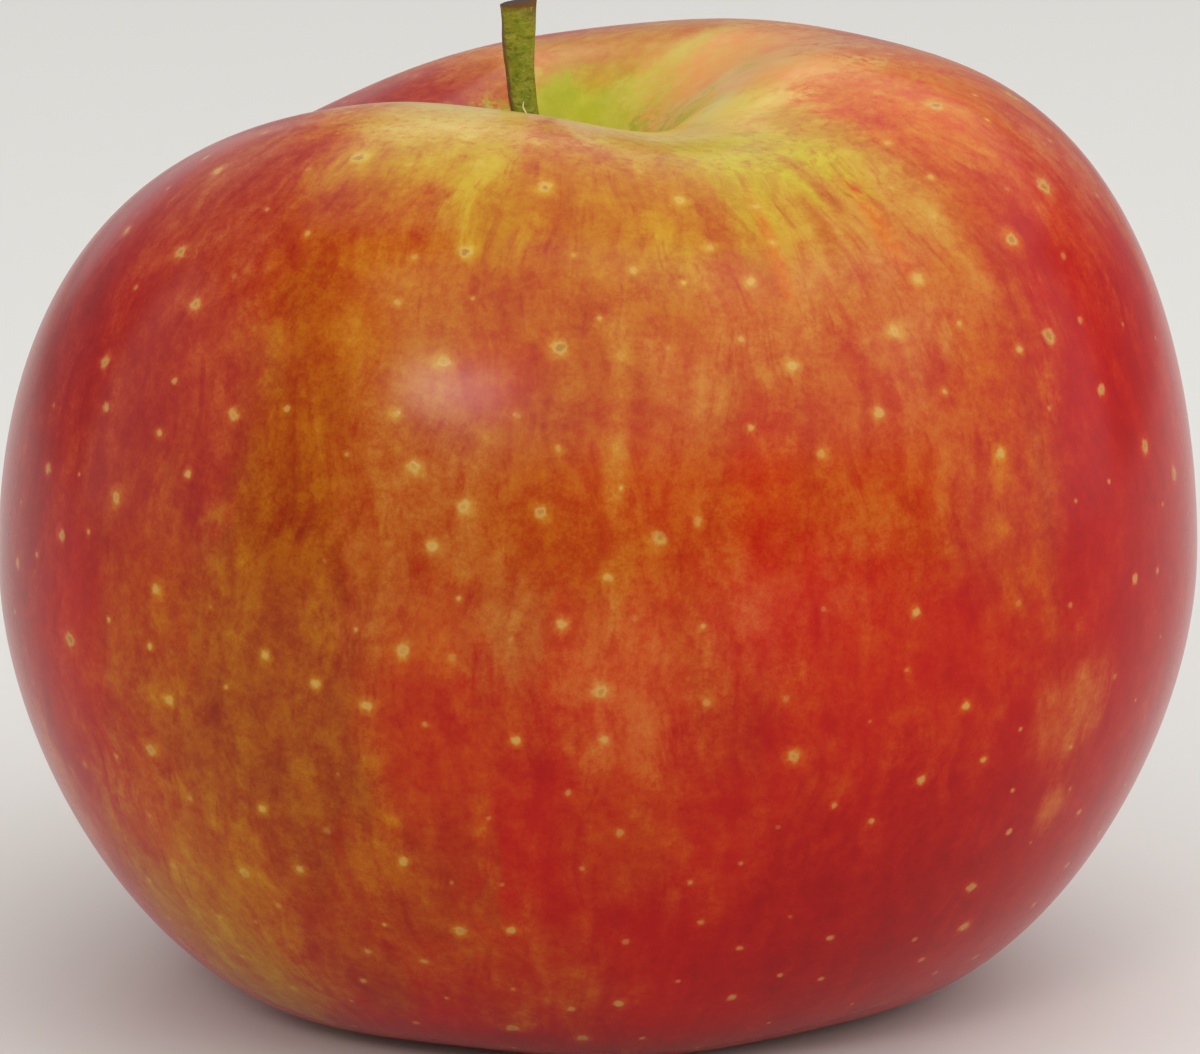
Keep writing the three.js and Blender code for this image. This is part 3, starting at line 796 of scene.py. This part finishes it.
def makeShred():        # a pale shred of bark that curls off the front near the rim
    bpy.ops.curve.primitive_bezier_curve_add(location=(0, 0, 0))
    curve = bpy.context.object
    spline = curve.data.splines[0]
    spline.bezier_points.add(len(stem["shredRoute"]) - 2)
    route = zip(spline.bezier_points, stem["shredRoute"], stem["shredRadii"])
    for point, (across, height), radius in route:
        middle = stemCentre(np.array([height]))[0] + boxShift
        stemRadius = np.interp(height, [place[2] for place in stem["route"]], stem["radii"])
        surface = middle[1] - math.sqrt(stemRadius ** 2 - (across - middle[0]) ** 2)
        point.co = Vector((across, surface - radius, height)) * mm
        point.radius = radius
        point.handle_left_type = point.handle_right_type = "AUTO"
    curve.data.bevel_depth = 1 * mm
    curve.data.use_fill_caps = True
    bpy.ops.object.convert(target="MESH")
    piece = bpy.context.object
    storeOnPoints(piece, "shred", "FLOAT", np.ones(len(piece.data.vertices)))
    return piece


def finishPiece(piece, node):
    selectOnly(piece)
    bpy.ops.object.shade_smooth_by_angle(angle=math.radians(creaseAngle))
    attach(piece, "root")
    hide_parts(node)


# green bark of a picked stem: matt, with lengthwise fibres, pale flecks and a brown side
def makeStemMaterial():
    material = newMaterial("stemGreenBark")
    tree = material.node_tree
    bark = addNode(tree, "Attribute", {"attribute_name": "bark"}, {}, "Vector")
    parts = addNode(tree, "SeparateXYZ", {}, {"Vector": bark}).node.outputs
    across, height = parts["X"], parts["Z"]
    normal = addNode(tree, "NewGeometry", {}, {}, "Normal")
    upward = addNode(tree, "SeparateXYZ", {}, {"Vector": normal}).node.outputs["Z"]
    grain = {}
    for name, (around, lengthwise, detail, roughness, distortion) in stem["grain"].items():
        scale = (around, around, lengthwise)
        drawnOut = addNode(tree, "VectorMath", {"operation": "MULTIPLY", 1: scale}, {0: bark})
        settings = {"Scale": 1.0, "Detail": detail, "Roughness": roughness, "Distortion": distortion}
        grain[name] = addNode(tree, "TexNoise", settings, {"Vector": drawnOut})

    low, high = stem["leftSide"]
    side = addNode(tree, "MapRange", {"From Min": low, "From Max": high}, {"Value": across})
    reach = {"operation": "MULTIPLY_ADD", 1: stem["sideReach"]}
    side = addNode(tree, "Math", reach, {0: side, 2: grain["fibres"]})
    reach = {"operation": "MULTIPLY_ADD", 1: stem["topSlope"]}
    top = addNode(tree, "Math", reach, {0: across, 2: height})
    sources = {
        "dark": grain["flecks"],
        "pale": grain["flecks"],
        "brownSide": side,
        "brownTop": top,
        "brownLip": height,
        "facingUp": upward,
        "atTop": height,
    }
    marks = {}
    for name, source in sources.items():
        low, high, strength = stem["marks"][name]
        reach = {"From Min": low, "From Max": high, "To Max": strength}
        marks[name] = addNode(tree, "MapRange", reach, {"Value": source})
    brown = marks["brownSide"]
    for name in ("brownTop", "brownLip"):
        brown = addNode(tree, "Math", {"operation": "MAXIMUM"}, {0: brown, 1: marks[name]})
    cut = addNode(tree, "Math", {"operation": "MULTIPLY"}, {0: marks["facingUp"], 1: marks["atTop"]})
    shred = addNode(tree, "Attribute", {"attribute_name": "shred"}, {}, "Fac")
    colour = fillRamp(addNode(tree, "ValToRGB", {}, {"Fac": grain["patches"]}), stem["greens"])
    layers = {
        "darkGreen": marks["dark"],
        "brown": brown,
        "fleck": marks["pale"],
        "shred": shred,
        "cutEnd": cut,
    }
    for tone, amount in layers.items():
        tint = {"data_type": "RGBA", "B": linearColour(stem[tone])}
        colour = addNode(tree, "Mix", tint, {"Factor": amount, "A": colour})

    bump = addNode(tree, "Bump", stem["fibreBump"], {"Height": grain["fibres"]})
    bump = addNode(tree, "Bump", stem["fleckBump"], {"Height": marks["pale"], "Normal": bump})
    shader = addNode(tree, "BsdfPrincipled", stem["finish"], {"Base Color": colour, "Normal": bump})
    addNode(tree, "OutputMaterial", {}, {"Surface": shader})
    return material


appleStem = makeStem()
appleStem.data.materials.append(makeStemMaterial())
print("apple: stem grown")


# Dried flower in the eye
flower = {
    "seed": 11,
    "sepalCount": 5,
    "sepalCells": (14, 36),         # across and along
    "sepalRoute": [     # radius, height
        (2.55, 9.2), (2.55, 7.8), (2.65, 6.4), (3.1, 5.1), (3.9, 4.1), (4.9, 3.75), (5.6, 4.3),
    ],
    "sepalWidths": [3.5, 4.0, 3.9, 3.3, 2.3, 1.4, 0.5],
    "sepalTaper": 0.3,
    "sepalThickness": 0.22,
    "sepalRoll": 0.75,              # how far the edges curl out
    "rollReach": (0.1875, 0.8125),  # along the sepal, where the curl starts and where it is full
    "rollNarrows": 0.25,
    "rollLifts": 0.4,
    "sepalTwist": 2.6,
    "sepalCrumple": 0.32,
    "crumpleScale": (1.1, 5.0),     # across and along
    "sepalTurn": -10,
    "tubeInner": 2.2,
    "tubeOuter": 2.9,
    "tubeLow": 7.6,
    "tubeTop": 9.9,
    "tubeSides": 40,
    "stamenCount": 19,
    "stamenLength": 2.6,
    "shortestStamen": 0.75,         # share of the longest
    "filamentSides": 6,
    "filamentRadius": 0.11,
    "filamentTaper": 0.9,
    "antherRadius": 0.36,
    "antherTip": 0.5,
    "stamenSteps": (0.125, 0.375, 0.075, 0.175, 0.15),      # shares of its length
    "stamenSpread": 0.3,
    "stamenSway": 0.2,
    "stamenRoof": 8.6,
    "stamenRing": 1.6,
    "discRadius": 2.3,
    "discSides": 32,
    "discDepth": 1.4,
    "discRise": 0.6,
    "discRound": 0.3,
    "ribScale": (5.0, 1.5, 9.0),
    "veinFolds": {"Detail": 6.0, "Roughness": 0.65, "Distortion": 0.6},
    "bump": {"Strength": 0.8, "Distance": 0.15 * mm},
    "finish": {"Roughness": 0.85, "Sheen Weight": 0.15},
    "colourReach": (0.36, 0.64),
    "materials": {      # dark, light, scale of the veins
        "driedSepalPaper": ("35230f", "8c6c42", 1.6),
        "driedStamenTissue": ("1e120a", "6b4626", 2.4),
    },
}


def makeSepal(turn, twist, ripple):
    f = flower
    cellsAcross, cellsAlong = f["sepalCells"]
    bpy.ops.mesh.primitive_grid_add(x_subdivisions=cellsAcross, y_subdivisions=cellsAlong, size=1)
    piece = bpy.context.object
    places = meshPoints(piece) * mm     # the grid is one unit wide
    along = places[:, 1] + 0.5
    side = places[:, 0] * 2
    steps = np.linspace(0, 1, len(f["sepalRoute"]))
    radius, height = [np.interp(along, steps, values) for values in zip(*f["sepalRoute"])]
    width = np.interp(along, steps, f["sepalWidths"]) * (1 - f["sepalTaper"] * along ** 6)
    low, high = f["rollReach"]
    roll = f["sepalRoll"] * side ** 2 * fade((along - low) / (high - low))
    around, lengthwise = f["crumpleScale"]
    points = zip(side * around, along * lengthwise)
    crumple = np.array([noise.noise_vector(Vector((u, v, ripple))) for u, v in points])
    crumple *= (f["sepalCrumple"] * fade(along * 2))[:, None]
    x = radius + roll + crumple[:, 0]
    y = side * width / 2 * (1 - f["rollNarrows"] * roll) + twist * along ** 3 + crumple[:, 1]
    z = height + f["rollLifts"] * roll + crumple[:, 2]
    storeOnPoints(piece, "blade", "FLOAT_VECTOR", np.stack([side, along, np.full(len(side), turn)], axis=1))
    c, s = math.cos(turn), math.sin(turn)
    setMeshPoints(piece, np.stack([x * c - y * s, x * s + y * c, z], axis=1))
    return piece


def joinPieces(pieces, name):
    bpy.ops.object.select_all(action="DESELECT")
    for piece in pieces:
        piece.select_set(True)
    bpy.context.view_layer.objects.active = pieces[0]
    bpy.ops.object.join()
    pieces[0].name = name
    return pieces[0]


def finishFlower(piece, thickness, node):
    selectOnly(piece)
    if thickness:
        solidify = piece.modifiers.new("thickness", "SOLIDIFY")
        solidify.thickness = thickness * mm
        solidify.offset = 0
        bpy.ops.object.modifier_apply(modifier=solidify.name)
    smooth = piece.modifiers.new("smooth", "SUBSURF")
    smooth.levels = smooth.render_levels = 1
    bpy.ops.object.modifier_apply(modifier=smooth.name)
    places = meshPoints(piece)
    places[:, :2] += boxShift
    setMeshPoints(piece, places)
    finishPiece(piece, node)


def makeSepals():
    f = flower
    chance = random.Random(f["seed"])
    sepals = []
    for i in range(f["sepalCount"]):
        turn = 2 * math.pi * (i + 0.5) / f["sepalCount"] + math.radians(f["sepalTurn"])
        twist = f["sepalTwist"] * (chance.random() - 0.5)
        sepals.append(makeSepal(turn, twist, chance.uniform(0, 6)))
    radius = (f["tubeInner"] + f["tubeOuter"]) / 2
    place = (0, 0, f["tubeLow"] * mm)
    bpy.ops.mesh.primitive_circle_add(vertices=f["tubeSides"], radius=radius * mm, location=place)
    tube = bpy.context.object
    bpy.ops.object.transform_apply(location=True)
    startEdit(tube)
    upward = (0, 0, (f["tubeTop"] - f["tubeLow"]) * mm)
    bpy.ops.mesh.extrude_region_move(TRANSFORM_OT_translate={"value": upward})
    endEdit()
    piece = joinPieces(sepals + [tube], "driedSepals")
    finishFlower(piece, f["sepalThickness"], "calyx_sepals")
    return piece


def makeStamens():
    f = flower
    chance = random.Random(f["seed"] + 1)
    stamens = []
    for i in range(f["stamenCount"]):
        reach = f["stamenRing"] * math.sqrt((i + 0.5) / f["stamenCount"])
        turn = i * math.pi * (3 - math.sqrt(5))
        lean = f["stamenSpread"] * reach / f["stamenRing"] + f["stamenSway"] * (chance.random() - 0.5)
        length = f["stamenLength"] * chance.uniform(f["shortestStamen"], 1)
        outward = Vector((math.cos(turn), math.sin(turn), 0))
        place = (outward * reach + Vector((0, 0, f["stamenRoof"]))) * mm
        bpy.ops.mesh.primitive_circle_add(vertices=f["filamentSides"], radius=f["filamentRadius"] * mm,
                                          fill_type="NGON", location=place)
        piece = bpy.context.object
        bpy.ops.object.transform_apply(location=True)
        startEdit(piece)
        taper = f["filamentTaper"]
        sizes = [taper, taper, taper * f["antherRadius"] / f["filamentRadius"], 1, f["antherTip"]]
        for step, size in zip(f["stamenSteps"], sizes):
            move = (outward * lean - Vector((0, 0, 1))) * length * step * mm
            bpy.ops.mesh.extrude_region_move(TRANSFORM_OT_translate={"value": move})
            middle = selectedMiddle(piece)
            bpy.ops.transform.resize(value=(size, size, 1), center_override=middle)
        endEdit()
        stamens.append(piece)
    place = (0, 0, (f["stamenRoof"] + f["discRise"]) * mm)
    bpy.ops.mesh.primitive_cylinder_add(vertices=f["discSides"], radius=f["discRadius"] * mm,
                                        depth=f["discDepth"] * mm, location=place)
    disc = bpy.context.object
    bpy.ops.object.transform_apply(location=True)
    startEdit(disc)
    bpy.ops.mesh.bevel(offset=f["discRound"] * mm, segments=3)
    endEdit()
    piece = joinPieces(stamens + [disc], "driedStamens")
    startEdit(piece)
    bpy.ops.mesh.normals_make_consistent(inside=False)
    endEdit()
    finishFlower(piece, 0, "calyx_stamens")
    return piece


def selectedMiddle(piece):
    piece.update_from_editmode()
    picked = [vertex.co for vertex in piece.data.vertices if vertex.select]
    return tuple(sum(picked, Vector()) / len(picked))


# shrivelled flower tissue: matt, papery and veined
def makeDriedMaterial(name):
    dark, light, veinScale = flower["materials"][name]
    material = newMaterial(name)
    tree = material.node_tree
    place = addNode(tree, "TexCoord", {}, {}, "Object")
    place = addNode(tree, "VectorMath", {"operation": "SCALE", "Scale": 1 / mm}, {"Vector": place})
    veins = addNode(tree, "TexNoise", {"Scale": veinScale, **flower["veinFolds"]}, {"Vector": place})
    blade = addNode(tree, "Attribute", {"attribute_name": "blade"}, {}, "Vector")     # none on stamens
    ribs = addNode(tree, "VectorMath", {"operation": "MULTIPLY", 1: flower["ribScale"]}, {0: blade})
    ribs = addNode(tree, "TexNoise", {"Scale": 1.0, "Detail": 3.0}, {"Vector": ribs})
    tissue = addNode(tree, "Mix", {"Factor": 0.5}, {"A": veins, "B": ribs})
    stops = zip(flower["colourReach"], (dark, light))
    colour = fillRamp(addNode(tree, "ValToRGB", {}, {"Fac": tissue}), list(stops))
    bump = addNode(tree, "Bump", flower["bump"], {"Height": tissue})
    shader = addNode(tree, "BsdfPrincipled", flower["finish"], {"Base Color": colour, "Normal": bump})
    addNode(tree, "OutputMaterial", {}, {"Surface": shader})
    return material


driedSepals = makeSepals()
driedSepals.data.materials.append(makeDriedMaterial("driedSepalPaper"))
driedStamens = makeStamens()
driedStamens.data.materials.append(makeDriedMaterial("driedStamenTissue"))
print("apple: dried flower made")


# Studio
studio = {
    "floorSize": 4000.0,
    "floorColour": "d5d4d1",
    "floorRoughness": 0.9,
    "cameraElevation": 14.0,
    "cameraDistance": 450.0,
    "cameraAim": (0.05, -1.19, 32.44),
    "lens": 193.9,
    "sensorWidth": 36,
    "lightAim": (0, 0, 30),
    "softboxes": [      # name, azimuth, elevation, distance, width, height, watts, colour
        ("overhead", 60, 70, 1100, 1500, 1500, 7.0, "fffdf8"),
        ("skylight", 290, 50, 1100, 1600, 1200, 7.5, "ffffff"),
        ("leftWall", 188, 10, 800, 700, 900, 1.5, "ffffff"),
        ("rightWall", -8, 18, 800, 700, 900, 2.0, "ffffff"),
        ("backLeft", 142, 44, 900, 900, 600, 0.35, "ffffff"),
        ("lowLeft", 112, 12, 900, 380, 260, 0.1, "ffffff"),
        ("window", 253, 33, 700, 190, 110, 0.78, "fff0ea"),
    ],
    "surround": 0.36,           # brightness of the room
}


def aimAt(piece, target):
    piece.rotation_euler = (Vector(target) * mm - piece.location).to_track_quat("-Z", "Y").to_euler()


def makeStudio():
    s = studio
    bpy.ops.mesh.primitive_plane_add(size=s["floorSize"] * mm, location=(0, 0, 0))
    floor = bpy.context.object
    floor.name = "studioFloor"
    material = newMaterial("floorMattePaper")
    finish = {"Base Color": linearColour(s["floorColour"]), "Roughness": s["floorRoughness"]}
    shader = addNode(material.node_tree, "BsdfPrincipled", finish, {})
    addNode(material.node_tree, "OutputMaterial", {}, {"Surface": shader})
    floor.data.materials.append(material)

    elevation = math.radians(s["cameraElevation"])
    back = Vector((0, -math.cos(elevation), math.sin(elevation)))
    bpy.ops.object.camera_add(location=Vector(s["cameraAim"]) * mm + back * s["cameraDistance"] * mm)
    camera = bpy.context.object
    aimAt(camera, s["cameraAim"])
    camera.data.lens = s["lens"]
    camera.data.sensor_width = s["sensorWidth"]
    camera.data.clip_start = 0.01
    bpy.context.scene.camera = camera

    for name, azimuth, elevation, distance, width, height, watts, colour in s["softboxes"]:
        a, e = math.radians(azimuth), math.radians(elevation)
        place = Vector((math.cos(a) * math.cos(e), math.sin(a) * math.cos(e), math.sin(e))) * distance * mm
        bpy.ops.object.light_add(type="AREA", location=place)
        light = bpy.context.object
        light.name = name
        aimAt(light, s["lightAim"])
        light.data.shape = "RECTANGLE"
        light.data.size = width * mm
        light.data.size_y = height * mm
        light.data.energy = watts
        light.data.color = linearColour(colour)[:3]

    world = bpy.data.worlds.new("whiteRoom")
    world.use_nodes = True
    bpy.context.scene.world = world
    world.node_tree.nodes["Background"].inputs["Strength"].default_value = s["surround"]
    world.node_tree.nodes["Background"].inputs["Color"].default_value = (1, 1, 1, 1)
    bpy.context.scene.view_settings.view_transform = "Standard"


makeStudio()
print("apple: studio ready")
